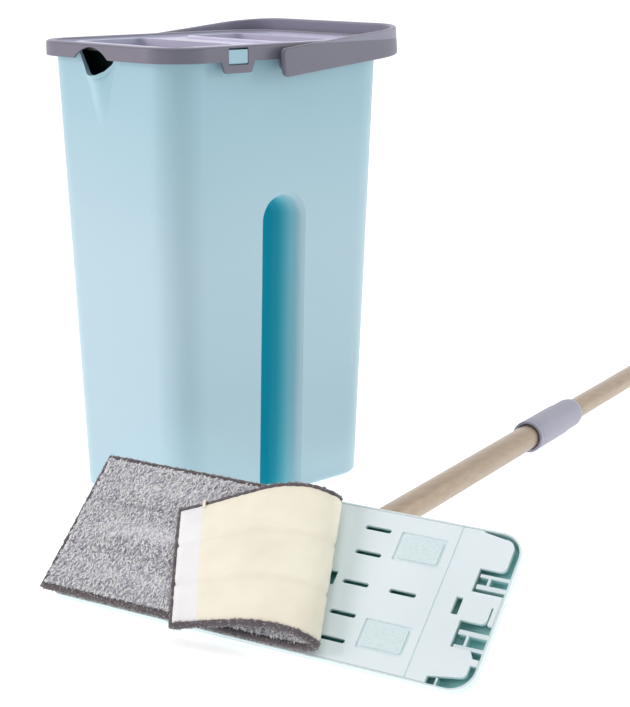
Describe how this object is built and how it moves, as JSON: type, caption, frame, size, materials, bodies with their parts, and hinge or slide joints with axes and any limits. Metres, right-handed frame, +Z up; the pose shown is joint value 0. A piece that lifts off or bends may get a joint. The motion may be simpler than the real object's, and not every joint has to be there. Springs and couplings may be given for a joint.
{
  "type": "flat mop and bucket with wringer",
  "caption": "Tall self-wringing bucket with carrying handle, and a flat mop with a telescopic pole, swivelling head and folded microfibre pad.",
  "frame": {"origin": "centre of the bucket's base, on the floor", "axes": "+Z up; +X along the bucket's long side, away from the pouring lip; -Y the fluted front face"},
  "size_m": [1.3078, 0.5541, 0.3899],
  "materials": {
    "tub_blue": "smooth moulded polypropylene, pale blue",
    "rim_grey": "fine-textured moulded plastic, warm grey",
    "soft_rubber": "soft thermoplastic rubber",
    "roller_white": "moulded acetal",
    "steel": "drawn steel",
    "plate_mint": "smooth moulded plastic, very pale mint",
    "hook_tape": "woven hook tape",
    "pad_pile": "mottled grey and white microfibre pile with a cream backing",
    "joint_grey": "moulded plastic",
    "pole_champagne": "satin champagne lacquer on steel tube",
    "collar_lavender": "moulded plastic, pale violet grey"
  },
  "bodies": {
    "bucket": {"bucket_tub": "tub_blue", "top_frame": "rim_grey", "wash_chute": "rim_grey", "wash_comb": "soft_rubber", "wringer_housing": "rim_grey", "roller_axle": "steel", "scraper_lip": "soft_rubber"},
    "roller": {"guide_roller": "roller_white"},
    "bail": {"bail_handle": "rim_grey"},
    "pole": {"pole_socket": "joint_grey", "socket_rivet": "steel", "pole_lower_tube": "pole_champagne", "tube_bushing": "joint_grey"},
    "collar": {"lock_collar": "collar_lavender"},
    "pole_upper": {"pole_upper_tube": "pole_champagne", "expander_plug": "joint_grey", "hand_grip": "collar_lavender", "hang_cap": "collar_lavender"},
    "turret": {"swivel_turret": "joint_grey", "tilt_pin": "steel", "turret_retainer": "steel", "retainer_screw": "steel"},
    "head": {"head_shell": "plate_mint", "head_panel": "plate_mint", "hook_patches": "hook_tape", "mop_pad": "pad_pile"}
  },
  "joints": [
    {"name": "bail_pivot", "type": "hinge", "parent": "bucket", "child": "bail", "pos_m": [-0.005, 0, 0.3662], "axis": [0, -1, 0], "range_deg": [0, 168.7]},
    {"name": "roller_spin", "type": "hinge", "parent": "bucket", "child": "roller", "pos_m": [0.0279, 0, 0.35], "axis": [0, 1, 0], "continuous": true},
    {"name": "mop_lift", "type": "slide", "parent": "bucket", "child": "pole", "axis": [0, 0, 1], "range_m": [0, 0.45]},
    {"name": "collar_twist", "type": "hinge", "parent": "pole", "child": "collar", "pos_m": [-0.1757, -0.27643, 0.02805], "axis": [0.9587, 0.284, -0.0124], "range_deg": [0, 90]},
    {"name": "pole_telescope", "type": "slide", "parent": "pole", "child": "pole_upper", "axis": [0.9587, 0.284, -0.0124], "range_m": [-0.29, 0.04]},
    {"name": "head_tilt", "type": "hinge", "parent": "pole", "child": "turret", "pos_m": [-0.1757, -0.27643, 0.02805], "axis": [0.284, -0.9588, 0], "range_deg": [-35, 131]},
    {"name": "head_swivel", "type": "hinge", "parent": "turret", "child": "head", "pos_m": [-0.1901, -0.2807, 0.0452], "axis": [-0.6316, -0.1871, 0.7524], "continuous": true}
  ]
}
